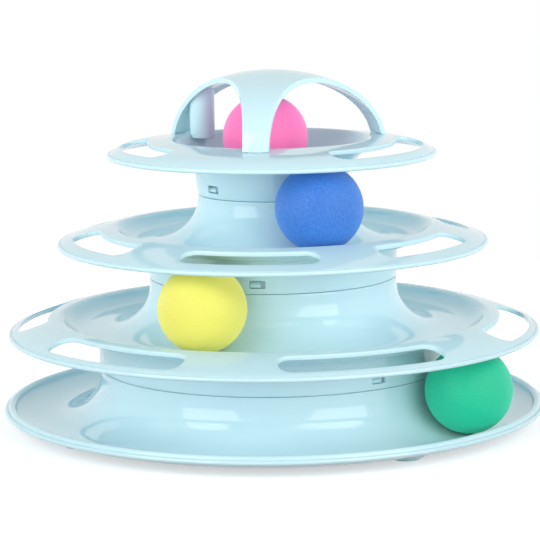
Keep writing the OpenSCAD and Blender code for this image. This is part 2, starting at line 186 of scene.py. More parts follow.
class Rim:
    """The side, crest and brim of one tray, as two parallel skins."""

    def __init__(self, crest, crest_z, side_r, depth, lip, drop, slope, straight):
        self.side = math.degrees(side_angle(side_r, depth))
        self.side_r = side_r
        self.slope = slope
        self.foot = (crest - side_run(side_r, depth), crest_z - depth + side_r)
        self.top = Vector((crest, crest_z - crest_r))
        self.bead = (lip - bead_r, crest_z - drop)
        self.tilt = Vector((math.sin(math.radians(slope)), math.cos(math.radians(slope))))
        start = self.top + crest_r * self.tilt
        meet = math.radians(bead_meet)
        end = Vector(self.bead) + bead_r * Vector((math.cos(meet), math.sin(meet))) + Vector((0, lip_step))
        self.knee = start + straight * (end.x - start.x) * Vector((1, -math.tan(math.radians(slope))))
        chord = end - self.knee
        fall = math.degrees(math.atan2(-chord.y, chord.x))
        self.last = 2 * fall - slope
        self.bend_r = chord.length / (2 * math.sin(math.radians(self.last - slope) / 2))
        self.bend = self.knee - self.bend_r * self.tilt

    def brim_z(self, radius, inset):
        """Height of the brim's upper skin, or of its lower one, at a radius."""
        knee = self.knee - inset * self.tilt
        if radius < knee.x:
            return knee.y + (knee.x - radius) * math.tan(math.radians(self.slope))
        return self.bend.y + math.sqrt((self.bend_r - inset) ** 2 - (radius - self.bend.x) ** 2)

    def brim_end(self, inset):
        return self.bend.x + (self.bend_r - inset) * math.sin(math.radians(self.last))

    def brim(self, radii, inset):
        return [(r, self.brim_z(r, inset)) for r in radii]

    def climb(self, inset, steps):
        """The hollow side and the crest, from the floor's edge to where the brim starts."""
        hollow = arc(self.foot, self.side_r + inset, self.side_r + inset, -90, self.side - 90, steps)
        crest = arc(self.top, crest_r - inset, crest_r - inset, 90 + self.side, 90 - self.slope, CREST_STEPS)
        return hollow[:-1] + crest


# %% [markdown]
# The hub of every level has a neck that plugs into the shell above, a step that the shell rests on,
# and a flare that runs down into the floor of the track as a quarter ellipse.
# %% Hubs and collars
window_up = 2.6
window_w = 7.2
window_h = 3.4
window_corner = 0.5
window_margin = 1.2


def hub_outside(hub, floor, seam, neck_top):
    neck = hub - wall - neck_gap
    step = seam - seam_gap
    return (
        [(neck - neck_wall, neck_top), (neck - seam_round, neck_top)]
        + arc((neck - seam_round, neck_top - seam_round), seam_round, seam_round, 60, 0, 2)
        + [(neck, step)]
        + [(hub - 3 * seam_round, step)]
        + arc((hub - seam_round, step - seam_round), seam_round, seam_round, 90, 0, ROUND_STEPS)
        + arc((hub + flare_w, floor + flare_h), flare_w, flare_h, 180, 270, FLARE_STEPS)
    )


def hub_inside(hub, floor, seam):
    """The hollow under a flare, up to the inside of the neck."""
    rise = seam - floor - flare_h
    turn = math.degrees(math.asin(max(0.0, 2 * wall - rise) / (flare_h + wall)))
    middle = (hub + flare_w, floor + flare_h)
    under = arc(middle, flare_w + wall, flare_h + wall, 270, 180 + turn, HOLLOW_STEPS)
    corner = [(hub - wall, seam - 2 * wall)] if rise > 2 * wall else []
    return under + corner + [(hub - wall - neck_gap - neck_wall, seam - wall / 2)]


def add_collar(section, hub, seam, draft, top_out, top_in):
    """A collar from a tray's underside down to the seam, with rows set round its latch windows."""
    low = seam + window_up - window_margin
    high = seam + window_up + window_h + window_margin

    def lean(height, top):
        return draft * (height - seam) / (top - seam)

    section.add([(hub + draft, top_out)])
    section.add([(hub + lean(z, top_out), z) for z in spread(high, low, 4)], "collar_out")
    section.add([(hub, seam + seam_round)])
    section.add(arc((hub - seam_round, seam + seam_round), seam_round, seam_round, -30, -90, 2))
    section.add([(hub - wall, seam)])
    section.add([(hub - wall + lean(z, top_in), z) for z in spread(low, high, 4)], "collar_in")
    section.add([(hub - wall + draft, top_in)])


# %% [markdown]
# Spinning. One loop of vertices on the axis's side becomes the whole shell with bmesh's spin, and an
# integer layer on the vertices carries each one's row round with it, so a patch of skin can be found
# again by its rows and its direction.
# %% Spin a section
def plan(azimuth):
    """Direction in plan of an azimuth, counted from the front towards the right."""
    return Vector((math.sin(math.radians(azimuth)), -math.cos(math.radians(azimuth)), 0))


def azimuth_of(place):
    return math.degrees(math.atan2(place.x, -place.y))


def turn_between(azimuth, other):
    """The smaller turn from other to azimuth, with its sign."""
    return (azimuth - other + 180) % 360 - 180


def spin_section(section, start):
    """The shell of a section whose first column lies at an azimuth."""
    bm = bmesh.new()
    row = bm.verts.layers.int.new("row")
    verts = []
    for i, (radius, height) in enumerate(section.points):
        verts.append(bm.verts.new(radius * plan(start) + Vector((0, 0, height))))
        verts[-1][row] = i
    on_axis = section.points[0][0] == 0 and section.points[-1][0] == 0
    pairs = list(zip(verts, verts[1:])) + ([] if on_axis else [(verts[-1], verts[0])])
    edges = [bm.edges.new(pair) for pair in pairs]
    bmesh.ops.spin(
        bm, geom=verts + edges, cent=(0, 0, 0), axis=(0, 0, 1), angle=math.tau, steps=COLUMNS, use_merge=True
    )
    bmesh.ops.remove_doubles(bm, verts=bm.verts, dist=0.001)
    return bm


# %% [markdown]
# Openings. A moulded slot has straight walls and rounded edges on both faces. A patch of each skin
# is taken out, the gap's edge is extruded and drawn in to the slot's rounded outline, the two
# outlines are bridged into the slot's wall, and the sharp edges are bevelled.
# %% Open a hole through a shell
hole_margin = 1.6
slot_round = 0.35
window_round = 0.2


def stretch_faces(bm, section, name):
    """The faces of one named stretch, all the way round."""
    row = bm.verts.layers.int["row"]
    first, last = section.rows[name]
    return [f for f in bm.faces if all(first <= v[row] <= last for v in f.verts)]


def gap_edges(bm, faces, middle, half_sweep):
    """Takes a patch out of one skin and returns the edges round the gap."""
    patch = {
        f
        for f in faces
        if f.is_valid and abs(turn_between(azimuth_of(f.calc_center_median()), middle)) < half_sweep
    }
    edges = {e for f in patch for e in f.edges}
    edges = [e for e in edges if sum(f in patch for f in e.link_faces) == 1]
    bmesh.ops.delete(bm, geom=list(patch), context="FACES")
    return edges


def rounded(place, half, corner):
    """The point of a rounded rectangle's outline that faces a place outside it."""
    core = Vector(max(corner - h, min(h - corner, p)) for p, h in zip(place, half))
    return core + (place - core).normalized() * corner


def draw_in(bm, edges, target):
    """Extrudes the edges of a gap and moves each new vertex to its target."""
    made = bmesh.ops.extrude_edge_only(bm, edges=edges)["geom"]
    for v in made:
        if isinstance(v, bmesh.types.BMVert):
            v.co = target(v.co)
    return [e for e in made if isinstance(e, bmesh.types.BMEdge) and len(e.link_faces) == 1]


def open_holes(bm, section, names, axis, middles, centre_at, half, corner):
    """Opens rounded holes through both skins. axis 0 sets them by radius, axis 1 by height."""
    faces = {name: stretch_faces(bm, section, name) for name in names}
    edges = []
    for middle in middles:
        outlines = []
        for name in names:
            across = centre_at if axis == 0 else section.across(name, centre_at, 1)
            sweep = math.degrees((half[0] + hole_margin) / across)

            def target(place):
                along = math.radians(turn_between(azimuth_of(place), middle)) * across
                level = (place.to_2d().length if axis == 0 else place.z) - centre_at
                spot = rounded(Vector((along, level)), half, corner)
                level = spot.y + centre_at
                other = section.across(name, level, axis)
                radius, height = (level, other) if axis == 0 else (other, level)
                return radius * plan(middle + math.degrees(spot.x / across)) + Vector((0, 0, height))

            outlines += draw_in(bm, gap_edges(bm, faces[name], middle, sweep), target)
        bmesh.ops.bridge_loops(bm, edges=outlines)
        edges += outlines
    return edges


def bevel(bm, edges, width, segments):
    bmesh.ops.bevel(
        bm, geom=edges, offset=width, offset_type="OFFSET", affect="EDGES", segments=segments,
        profile=0.5, material=-1, clamp_overlap=True,
    )


# %% [markdown]
# Storing a piece. Its faces are turned outwards, edges sharper than a rounded one are kept crisp,
# and the mesh goes to metres. It then rides on the body of the node that it stands for.
# %% Store a piece
sharp_edge = math.radians(38)


def body_holding(node):
    bodies = frame["record"]["behaviour"]["bodies"]
    return next(body for body, members in bodies.items() if node in members)


def store(bm, name, node, material):
    bmesh.ops.recalc_face_normals(bm, faces=bm.faces)
    bmesh.ops.scale(bm, vec=(MM, MM, MM), verts=bm.verts)
    for face in bm.faces:
        face.smooth = True
    for edge in bm.edges:
        edge.smooth = edge.calc_face_angle(0) < sharp_edge
    mesh = bpy.data.meshes.new(name)
    bm.to_mesh(mesh)
    bm.free()
    mesh.materials.append(material)
    piece = bpy.data.objects.new(name, mesh)
    bpy.context.scene.collection.objects.link(piece)
    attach(piece, body_holding(node))
    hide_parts(node)
    print(name, len(mesh.polygons), "faces")
    return piece


# %% [markdown]
# Materials are node trees. Colours are written as sRGB hex values, and one function turns them to
# linear light. One small function adds a node, sets its inputs and links what it is given.
# %% Material helpers
def linear(hex_color):
    """An sRGB hex colour as linear red, green, blue and alpha."""
    parts = [int(hex_color[i:i + 2], 16) / 255 for i in (1, 3, 5)]
    return [c / 12.92 if c <= 0.04045 else ((c + 0.055) / 1.055) ** 2.4 for c in parts] + [1.0]


def add_node(tree, kind, inputs=None, **settings):
    """Adds a node. inputs maps a socket's name or number to a value or to another node's output."""
    node = tree.nodes.new(kind)
    for name, value in settings.items():
        setattr(node, name, value)
    for name, value in (inputs or {}).items():
        if isinstance(value, bpy.types.NodeSocket):
            tree.links.new(value, node.inputs[name])
        else:
            node.inputs[name].default_value = value
    return node


def new_material(name):
    material = bpy.data.materials.new(name)
    material.use_nodes = True
    material.node_tree.nodes.clear()
    return material, material.node_tree


def per_metre(size_mm):
    """Noise scale that gives features of a size in millimetres."""
    return 1 / (size_mm * MM)


# %% [markdown]
# The shells are injection-moulded ABS: opaque, glossy, very slightly uneven where the wall cooled.
# The highlights on them are crisp and waver a little, so the surface has a slow bump of a few
# hundredths of a millimetre, a grain far finer than that, and a roughness that drifts.
# %% Moulded ABS
abs_waver = 22
abs_waver_depth = 0.1
abs_grain = 0.8
abs_grain_depth = 0.005


def moulded_abs():
    material, tree = new_material("glossy_moulded_abs")
    place = add_node(tree, "ShaderNodeTexCoord").outputs["Object"]
    slow = add_node(
        tree, "ShaderNodeTexNoise", {"Vector": place, "Scale": per_metre(abs_waver), "Detail": 2.0}
    )
    fine = add_node(
        tree, "ShaderNodeTexNoise", {"Vector": place, "Scale": per_metre(abs_grain), "Detail": 3.0}
    )
    tint = add_node(
        tree, "ShaderNodeMix",
        {"Factor": slow.outputs["Fac"], 6: linear("#C3E3EB"), 7: linear("#C8E7EE")}, data_type="RGBA",
    )
    gloss = add_node(
        tree, "ShaderNodeMapRange", {"Value": fine.outputs["Fac"], "To Min": 0.02, "To Max": 0.05}
    )
    waver = add_node(
        tree, "ShaderNodeBump",
        {"Height": slow.outputs["Fac"], "Strength": 0.2, "Distance": abs_waver_depth * MM},
    )
    grain = add_node(
        tree, "ShaderNodeBump",
        {"Height": fine.outputs["Fac"], "Strength": 0.1, "Distance": abs_grain_depth * MM,
         "Normal": waver.outputs["Normal"]},
    )
    surface = add_node(
        tree, "ShaderNodeBsdfPrincipled",
        {"Base Color": tint.outputs[2], "Roughness": gloss.outputs["Result"], "IOR": 1.53,
         "Normal": grain.outputs["Normal"], "Subsurface Weight": 0.08, "Subsurface Scale": 0.002,
         "Subsurface Radius": (0.8, 1.0, 1.1)},
    )
    add_node(tree, "ShaderNodeOutputMaterial", {"Surface": surface.outputs["BSDF"]})
    return material


shell_plastic = moulded_abs()

# %% [markdown]
# The balls are ground EVA foam: a matt, closed skin of tiny cut cells that scatters light softly and
# shows a fine speckle. Real cells are about 0.3 mm across, drawn here at 0.9 mm so that they show.
# %% Ground EVA foam
foam_cell = 0.9
foam_speck = 0.7
foam_pit = 0.12


def ground_foam(name, dark, light, speckle):
    material, tree = new_material(name)
    place = add_node(tree, "ShaderNodeTexCoord").outputs["Object"]
    cells = add_node(tree, "ShaderNodeTexVoronoi", {"Vector": place, "Scale": per_metre(foam_cell)})
    cloud = add_node(
        tree, "ShaderNodeTexNoise", {"Vector": place, "Scale": per_metre(foam_speck), "Detail": 3.0}
    )
    grain = add_node(
        tree, "ShaderNodeMapRange",
        {"Value": cloud.outputs["Fac"], "From Min": 0.3, "From Max": 0.7, "To Min": 0.5 - speckle,
         "To Max": 0.5 + speckle},
    )
    tint = add_node(
        tree, "ShaderNodeMix",
        {"Factor": grain.outputs["Result"], 6: linear(dark), 7: linear(light)}, data_type="RGBA",
    )
    pits = add_node(
        tree, "ShaderNodeBump",
        {"Height": cells.outputs["Distance"], "Strength": 0.35, "Distance": foam_pit * MM},
    )
    surface = add_node(
        tree, "ShaderNodeBsdfPrincipled",
        {"Base Color": tint.outputs[2], "Roughness": 0.58, "IOR": 1.45, "Normal": pits.outputs["Normal"],
         "Diffuse Roughness": 1.0, "Sheen Weight": 0.06, "Sheen Roughness": 0.5},
    )
    add_node(tree, "ShaderNodeOutputMaterial", {"Surface": surface.outputs["BSDF"]})
    return material


# %% [markdown]
# The pads under the base are soft moulded rubber of the shells' colour, and dull.
# %% Soft rubber
rubber_grit = 0.6
rubber_grit_depth = 0.08


def soft_rubber():
    material, tree = new_material("soft_pad_rubber")
    place = add_node(tree, "ShaderNodeTexCoord").outputs["Object"]
    grit = add_node(
        tree, "ShaderNodeTexNoise", {"Vector": place, "Scale": per_metre(rubber_grit), "Detail": 4.0}
    )
    tint = add_node(
        tree, "ShaderNodeMix",
        {"Factor": grit.outputs["Fac"], 6: linear("#BBDFE9"), 7: linear("#C8E8EF")}, data_type="RGBA",
    )
    bump = add_node(
        tree, "ShaderNodeBump",
        {"Height": grit.outputs["Fac"], "Strength": 0.3, "Distance": rubber_grit_depth * MM},
    )
    surface = add_node(
        tree, "ShaderNodeBsdfPrincipled",
        {"Base Color": tint.outputs[2], "Roughness": 0.72, "IOR": 1.5, "Normal": bump.outputs["Normal"]},
    )
    add_node(tree, "ShaderNodeOutputMaterial", {"Surface": surface.outputs["BSDF"]})
    return material


# %% [markdown]
# The sprung hooks. Each neck carries three that snap into windows in the collar above. A hook is a
# ramp drawn as five points and extruded sideways, with its root inside the neck's wall.
# %% Latch hooks
hook_w = 4.8
hook_gap = 0.3
hook_inset = 0.3
latch_turns = (0, 120, 240)


def add_hooks(bm, hub, seam, first):
    neck = hub - wall - neck_gap
    root = neck - neck_wall / 2
    low = seam + window_up + hook_gap
    high = seam + window_up + window_h - hook_gap
    outline = [(root, low), (hub - hook_inset, low), (hub - hook_inset, (low + high) / 2), (neck, high),
               (root, high)]
    left = -window_w / 2 + hook_gap
    for turn in latch_turns:
        azimuth = first + turn
        side = plan(azimuth + 90)
        verts = [
            bm.verts.new(r * plan(azimuth) + left * side + Vector((0, 0, z))) for r, z in outline
        ]
        face = bm.faces.new(verts)
        made = bmesh.ops.extrude_face_region(bm, geom=[face])["geom"]
        moved = [v for v in made if isinstance(v, bmesh.types.BMVert)]
        bmesh.ops.translate(bm, verts=moved, vec=hook_w * side)
        bevel(bm, list({e for v in verts + moved for e in v.link_edges}), window_round, 2)


def open_latches(bm, section, seam, first):
    """Opens the latch windows in a collar and rounds their edges a little."""
    edges = open_holes(
        bm, section, ("collar_out", "collar_in"), 1, [first + turn for turn in latch_turns],
        seam + window_up + window_h / 2, (window_w / 2, window_h / 2), window_corner,
    )
    bevel(bm, edges, window_round, 1)


# %% [markdown]
# The two slotted ring trays differ only in their sizes, so one function makes both. The rows of the
# brim are set so that a slot's patch starts and ends on a row.
# %% Ring trays
tray_depth = 5.75
tray_drop = 7.8
tray_straight = 0.05
fillet_r = 12.0
collar_draft = 0.4
slot_corner_share = 0.46
slot_rows = 6
slot_count = 6


def brim_rows(section, rim, inset, slot_in, slot_out, name, backwards=False):
    """Adds a brim's rows, with the patch for its slots as a named stretch."""
    start = rim.top.x + (crest_r - inset) * rim.tilt.x
    near = slot_in - hole_margin
    far = slot_out + hole_margin
    stretches = [
        (rim.brim(spread(start, near, 2)[1:-1], inset), None),
        (rim.brim(spread(near, far, slot_rows), inset), name),
        (rim.brim(spread(far, rim.brim_end(inset), 2)[1:], inset), None),
    ]
    for points, label in reversed(stretches) if backwards else stretches:
        section.add(points[::-1] if backwards else points, label)


def ring_tray(floor, hub, seam, neck_top, under_hub, under_seam, latch_az, crest, lip, slope, slot):
    slot_az, slot_half, slot_out, slot_w = slot
    rim = Rim(crest, floor + tray_depth, fillet_r, tray_depth, lip, tray_drop, slope, tray_straight)
    section = Section()
    section.add(hub_outside(hub, floor, seam, neck_top))
    section.add(rim.climb(0, SIDE_STEPS))
    brim_rows(section, rim, 0, slot_out - slot_w, slot_out, "brim_top")
    section.add(arc(rim.bead, bead_r, bead_r, bead_meet, -bead_meet, BEAD_STEPS))
    brim_rows(section, rim, wall, slot_out - slot_w, slot_out, "brim_under", backwards=True)
    section.add(rim.climb(wall, SIDE_STEPS)[::-1])
    add_collar(section, under_hub, under_seam, collar_draft, floor - wall, floor - wall)
    collar_in = under_hub - wall + collar_draft
    section.add([p for p in hub_inside(hub, floor, seam) if p[0] < collar_in])
    bm = spin_section(section, slot_az)
    slot_mid = slot_out - slot_w / 2
    edges = open_holes(
        bm, section, ("brim_top", "brim_under"), 0,
        [slot_az + i * 360 / slot_count for i in range(slot_count)],
        slot_mid, (math.radians(slot_half) * slot_mid, slot_w / 2), slot_w * slot_corner_share,
    )
    bevel(bm, edges, slot_round, ROUND_STEPS)
    open_latches(bm, section, under_seam, latch_az)
    return bm


middle_step = 8.8
middle_floor_out = 6.4
lower_floor_out = 9.4
bowl_crest = middle_path - middle_step
middle_crest = middle_path + middle_floor_out + side_run(fillet_r, tray_depth)
lower_crest = lower_path + lower_floor_out + side_run(fillet_r, tray_depth)
base_latch_az = 34.7
lower_latch_az = -7.1
middle_latch_az = -51

lower_lip = reach("lower_tray")
lower_slope = 8
lower_slot_az = 20.3
lower_slot_half = 19.6
lower_slot_w = 13.8
lower_slot_margin = 4.6
lower_slot = (lower_slot_az, lower_slot_half, lower_lip - lower_slot_margin, lower_slot_w)
bm = ring_tray(
    lower_floor, lower_hub, lower_seam, high_z("lower_tray"), base_hub, base_seam, base_latch_az, lower_crest,
    lower_lip, lower_slope, lower_slot,
)
add_hooks(bm, lower_hub, lower_seam, lower_latch_az)
store(bm, "lower_tray_shell", "lower_tray", shell_plastic)

middle_lip = reach("middle_tray")
middle_slope = 10
middle_slot_az = -7
middle_slot_half = 20.5
middle_slot_w = 12.9
middle_slot_margin = 7.4
middle_slot = (middle_slot_az, middle_slot_half, middle_lip - middle_slot_margin, middle_slot_w)
bm = ring_tray(
    middle_floor, middle_hub, middle_seam, high_z("middle_tray"), lower_hub, lower_seam, lower_latch_az,
    middle_crest, middle_lip, middle_slope, middle_slot,
)
add_hooks(bm, middle_hub, middle_seam, middle_latch_az)
store(bm, "middle_tray_shell", "middle_tray", shell_plastic)

# %% [markdown]
# The top tray is a closed bowl. Its section starts and ends on the axis, its collar leans outwards
# under the bowl, and a long slot on each side opens its brim. The dome's feet cover the narrow slits
# for its tabs, so those aren't opened here.
# %% Top tray
bowl_depth = 20.5
bowl_side_r = 44.5
top_drop = 7.15
top_slope = 6
top_straight = 0.58
top_draft = 1.7
right_slot_az = 62
right_slot_half = 38
left_slot_az = -75
left_slot_half = 29
top_slot_w = 12.9
top_slot_margin = 6.4
top_lip = reach("top_tray")
top_slot_out = top_lip - top_slot_margin
top_slot_in = top_slot_out - top_slot_w

dome_r = 57.0
dome_sink = 5.5
dome_z = bowl_crest_z - dome_sink
dome_h = high_z("dome_cage") - dome_z
dome_wall = 2.2
arm_az = -7.5
arm_turns = (0, 120, 240)
tab_w = 6.0
tab_t = 1.6
tab_margin = 0.7
foot_mid = dome_r * math.sqrt(1 - ((bowl_crest_z - dome_z) / dome_h) ** 2) - dome_wall / 2

top_rim = Rim(bowl_crest, bowl_crest_z, bowl_side_r, bowl_depth, top_lip, top_drop, top_slope, top_straight)


def bowl_z(radius, inset):
    """Height of the bowl's skin at a radius, on the floor, the side, the crest or the brim."""
    out = radius - top_rim.foot[0]
    if out < 0:
        return bowl_floor - inset
    if radius < bowl_crest - crest_r * math.sin(math.radians(top_rim.side)):
        return top_rim.foot[1] - math.sqrt((bowl_side_r + inset) ** 2 - out ** 2)
    if radius < top_rim.top.x + crest_r * top_rim.tilt.x:
        return top_rim.top.y + math.sqrt((crest_r - inset) ** 2 - (radius - top_rim.top.x) ** 2)
    return top_rim.brim_z(radius, inset)


def top_brim(section, inset, name, backwards=False):
    """The brim's rows, out to the tabs and past them, with the long slots' patch as a named stretch."""
    start = top_rim.top.x + (crest_r - inset) * top_rim.tilt.x
    tab_near = foot_mid - tab_t / 2 - tab_margin
    near = top_slot_in - hole_margin
    far = top_slot_out + hole_margin
    stretches = [
        (top_rim.brim(spread(start, tab_near, 3)[1:-1], inset), None),
        (top_rim.brim(spread(tab_near, near, 2)[:-1], inset), None),
        (top_rim.brim(spread(near, far, slot_rows), inset), name),
        (top_rim.brim(spread(far, top_rim.brim_end(inset), 3)[1:], inset), None),
    ]
    for points, label in reversed(stretches) if backwards else stretches:
        section.add(points[::-1] if backwards else points, label)


section = Section()
section.add([(0, bowl_floor)])
section.add(top_rim.climb(0, BOWL_STEPS))
top_brim(section, 0, "brim_top")
section.add(arc(top_rim.bead, bead_r, bead_r, bead_meet, -bead_meet, BEAD_STEPS))
top_brim(section, wall, "brim_under", backwards=True)
collar_out = middle_hub + top_draft
collar_in = collar_out - wall
under = top_rim.climb(wall, BOWL_STEPS)[::-1]
section.add([p for p in under if p[0] > collar_out])
add_collar(section, middle_hub, middle_seam, top_draft, bowl_z(collar_out, wall), bowl_z(collar_in, wall))
section.add([p for p in under if p[0] < collar_in])
section.add([(0, bowl_floor - wall)])

bm = spin_section(section, right_slot_az)
slot_mid = (top_slot_in + top_slot_out) / 2
edges = []
for azimuth, half_sweep in ((right_slot_az, right_slot_half), (left_slot_az, left_slot_half)):
    edges += open_holes(
        bm, section, ("brim_top", "brim_under"), 0, [azimuth], slot_mid,
        (math.radians(half_sweep) * slot_mid, top_slot_w / 2), top_slot_w * slot_corner_share,
    )
bevel(bm, edges, slot_round, ROUND_STEPS)
open_latches(bm, section, middle_seam, middle_latch_az)
store(bm, "top_tray_shell", "top_tray", shell_plastic)

# %% [markdown]
# The base is a shallow dish with a narrow crest and a bead under it, set off by a fine step. Below,
# four round cups hold the rubber pads: a patch of the belly is drawn in to a circle, dropped to the
# cup's ring and lifted again for its floor.
# %% Base tray
base_rim_w = 5.2
base_rim_in = reach("base_tray") - base_rim_w
base_rim_h = 6.9
base_crest_r = 1.8
base_rim_drop = 2.7
base_lip_step = 0.45
base_corner_r = 1.7
base_corner_drop = 1.75 * wall
base_bead_end = -80
base_under = low_z("base_tray")
foot_d = 13.0
foot_recess = 0.7
foot_gap = 0.2
foot_ring = 1.5
foot_nodes = ("foot_pad_front_right", "foot_pad_back_right", "foot_pad_back_left", "foot_pad_front_left")


def base_skin():
    crest_z = base_floor + base_rim_h
    climb = base_rim_h - base_corner_drop
    run = base_rim_in - wall / 2 - base_hub - flare_w
    dish_r = (run * run + climb * climb) / (2 * climb)
    sweep = math.asin(run / dish_r)
    corner = (base_rim_in - base_corner_r, base_floor + climb + base_corner_r * math.cos(sweep))
    step = bead_r * math.sin(math.radians(bead_meet)) + base_lip_step - base_rim_drop
    crest_end = math.degrees(math.asin(1 + step / base_crest_r))
    crest = (base_rim_in + base_crest_r, crest_z - base_crest_r)
    bead = (reach("base_tray") - bead_r, crest_z - base_rim_drop)
    sweep = math.degrees(sweep)
    return (
        arc((base_hub + flare_w, base_floor + dish_r), dish_r, dish_r, -90, sweep - 90, DISH_STEPS)
        + arc(corner, base_corner_r, base_corner_r, sweep - 90, 0, 2 * ROUND_STEPS)[1:]
        + arc(crest, base_crest_r, base_crest_r, 180, crest_end, BEAD_STEPS)
        + arc(bead, bead_r, bead_r, bead_meet, base_bead_end, BEAD_STEPS)
    )


def base_belly():
    rim_low = base_floor + base_rim_h - base_rim_drop - bead_r
    run = reach("base_tray") - bead_r - wall / 2 - base_hub - flare_w
    climb = rim_low - base_under
    belly_r = (run * run + climb * climb) / (2 * climb)
    sweep = math.degrees(math.asin(run / belly_r))
    middle = (base_hub + flare_w, base_under + belly_r)
    return arc(middle, belly_r, belly_r, sweep - 90, -90, DISH_STEPS)


cup_ring_r = foot_d / 2 + foot_gap + foot_ring
cup_patch_margin = 2.4
cup_sweep_margin = 1.2
section = Section()
section.add(hub_outside(base_hub, base_floor, base_seam, high_z("base_tray")))
section.add(base_skin()[1:])
belly = base_belly() + hub_inside(base_hub, base_floor, base_seam)[1:]
foot_path = path_radius(foot_nodes[0])
patch = [i for i, p in enumerate(belly) if abs(p[0] - foot_path) < cup_ring_r + cup_patch_margin]
section.add(belly[:patch[0]])
section.add(belly[patch[0]:patch[-1] + 1], "cups")
section.add(belly[patch[-1] + 1:])
bm = spin_section(section, azimuth_of(centre(foot_nodes[0])))


def open_cup(bm, faces, middle):
    """A ring that stands down from the belly, with a shallow recess for a pad."""
    sweep = math.degrees((cup_ring_r + cup_sweep_margin) / foot_path)
    edges = gap_edges(bm, faces, azimuth_of(middle), sweep)

    def on_belly(place):
        spot = middle.to_2d() + (place.to_2d() - middle.to_2d()).normalized() * cup_ring_r
        return Vector((spot.x, spot.y, section.across("cups", spot.length, 0)))

    def at(radius, height):
        def target(place):
            spot = middle.to_2d() + (place.to_2d() - middle.to_2d()).normalized() * radius
            return Vector((spot.x, spot.y, height))

        return target

    edges = draw_in(bm, edges, on_belly)
    edges = draw_in(bm, edges, at(cup_ring_r, base_under))
    edges = draw_in(bm, edges, at(foot_d / 2 + foot_gap, base_under))
    edges = draw_in(bm, edges, at(foot_d / 2 + foot_gap, base_under + foot_recess))
    bmesh.ops.holes_fill(bm, edges=edges, sides=0)


faces = stretch_faces(bm, section, "cups")
for node in foot_nodes:
    open_cup(bm, faces, centre(node))
add_hooks(bm, base_hub, base_seam, base_latch_az)
store(bm, "base_tray_shell", "base_tray", shell_plastic)

# %% [markdown]
# The pads are low round buttons. Each is spun from a section with a rounded lower edge.
# %% Foot pads
pad_rubber = soft_rubber()
pad_round = 0.5
PAD_STEPS = 4


def foot_pad(node):
    place = centre(node)
    top = high_z(node)
    radius = foot_d / 2
    section = Section()
    section.add([(0, 0)])
    section.add([(radius - 2 * pad_round, 0)])
    section.add(arc((radius - pad_round, pad_round), pad_round, pad_round, -90, 0, PAD_STEPS))
    section.add([(radius, top - pad_round / 2), (radius - pad_round / 2, top), (0, top)])
    bm = spin_section(section, 0)
    bmesh.ops.translate(bm, verts=bm.verts, vec=(place.x, place.y, 0))
    return store(bm, node + "_button", node, pad_rubber)


for node in foot_nodes:
    foot_pad(node)

# %% [markdown]
# The dome is a thin ellipsoid with three great arches taken out, which leaves a top and three arms.
# One arm's third of each skin is spun, and past the arches' nearest point every ring is closed up
# towards the arm's middle by just the angle that the round arch leaves. Three copies are merged,
# and the two skins are bridged along their edge.
# %% Dome
arch_near = 22.6
arch_r = 105.0
arch_far = arch_near + arch_r
dome_gap = 0.2
dome_round = 0.35
arm_share = 120.0
ARM_COLUMNS = 20
TOP_ROWS = 10
ARM_ROWS = 26
FOOT_TRIES = 20


def arm_half(radius):
    """Half the angle that an arm takes up at a radius."""
    if radius <= arch_near:
        return arm_share / 2
    share = (arch_far ** 2 + radius ** 2 - arch_r ** 2) / (2 * arch_far * radius)
    return arm_share / 2 - math.degrees(math.acos(min(1.0, share)))


def foot_radius(inset):
    """Where a skin of the dome comes down to the brim, found by going back and forth."""
    radius = dome_r - inset
    for _ in range(FOOT_TRIES):
        height = bowl_z(radius, 0) + dome_gap - dome_z
        radius = (dome_r - inset) * math.sqrt(1 - (height / (dome_h - inset)) ** 2)
    return radius


def dome_skin(inset):
    """One skin of the whole dome."""
    last = foot_radius(inset)
    reach_angle = math.acos((arch_far ** 2 + arch_r ** 2 - last ** 2) / (2 * arch_far * arch_r))
    radii = spread(0, arch_near, TOP_ROWS)
    for angle in spread(0, reach_angle, ARM_ROWS)[1:]:
        radii.append(math.sqrt(arch_far ** 2 + arch_r ** 2 - 2 * arch_far * arch_r * math.cos(angle)))
    bm = bmesh.new()
    start = plan(arm_az - arm_share / 2)
    verts = []
    for radius in radii:
        height = (dome_h - inset) * math.sqrt(1 - (radius / (dome_r - inset)) ** 2)
        verts.append(bm.verts.new(radius * start + Vector((0, 0, dome_z + height))))
    edges = [bm.edges.new(pair) for pair in zip(verts, verts[1:])]
    bmesh.ops.spin(
        bm, geom=verts + edges, cent=(0, 0, 0), axis=(0, 0, 1), angle=math.tau / 3, steps=ARM_COLUMNS,
    )
    for v in bm.verts:
        radius = v.co.to_2d().length
        offset = turn_between(azimuth_of(v.co), arm_az)
        if radius > arch_near:
            spot = radius * plan(arm_az + offset * arm_half(radius) / (arm_share / 2))
            v.co = Vector((spot.x, spot.y, v.co.z))
    whole = list(bm.verts) + list(bm.edges) + list(bm.faces)
    for turn in arm_turns[1:]:
        copy = bmesh.ops.duplicate(bm, geom=whole)["geom"]
        bmesh.ops.rotate(
            bm, verts=[v for v in copy if isinstance(v, bmesh.types.BMVert)], cent=(0, 0, 0),
            matrix=Matrix.Rotation(math.radians(turn), 3, "Z"),
        )
    bmesh.ops.remove_doubles(bm, verts=bm.verts, dist=0.005)
    return bm


def join(target, other):
    """Adds the mesh of one bmesh to another."""
    mesh = bpy.data.meshes.new("joined")
    other.to_mesh(mesh)
    other.free()
    target.from_mesh(mesh)
    bpy.data.meshes.remove(mesh)


bm = dome_skin(0)
join(bm, dome_skin(dome_wall))
open_edges = [e for e in bm.edges if e.is_boundary]
bmesh.ops.bridge_loops(bm, edges=open_edges)
bevel(bm, open_edges, dome_round, ROUND_STEPS)

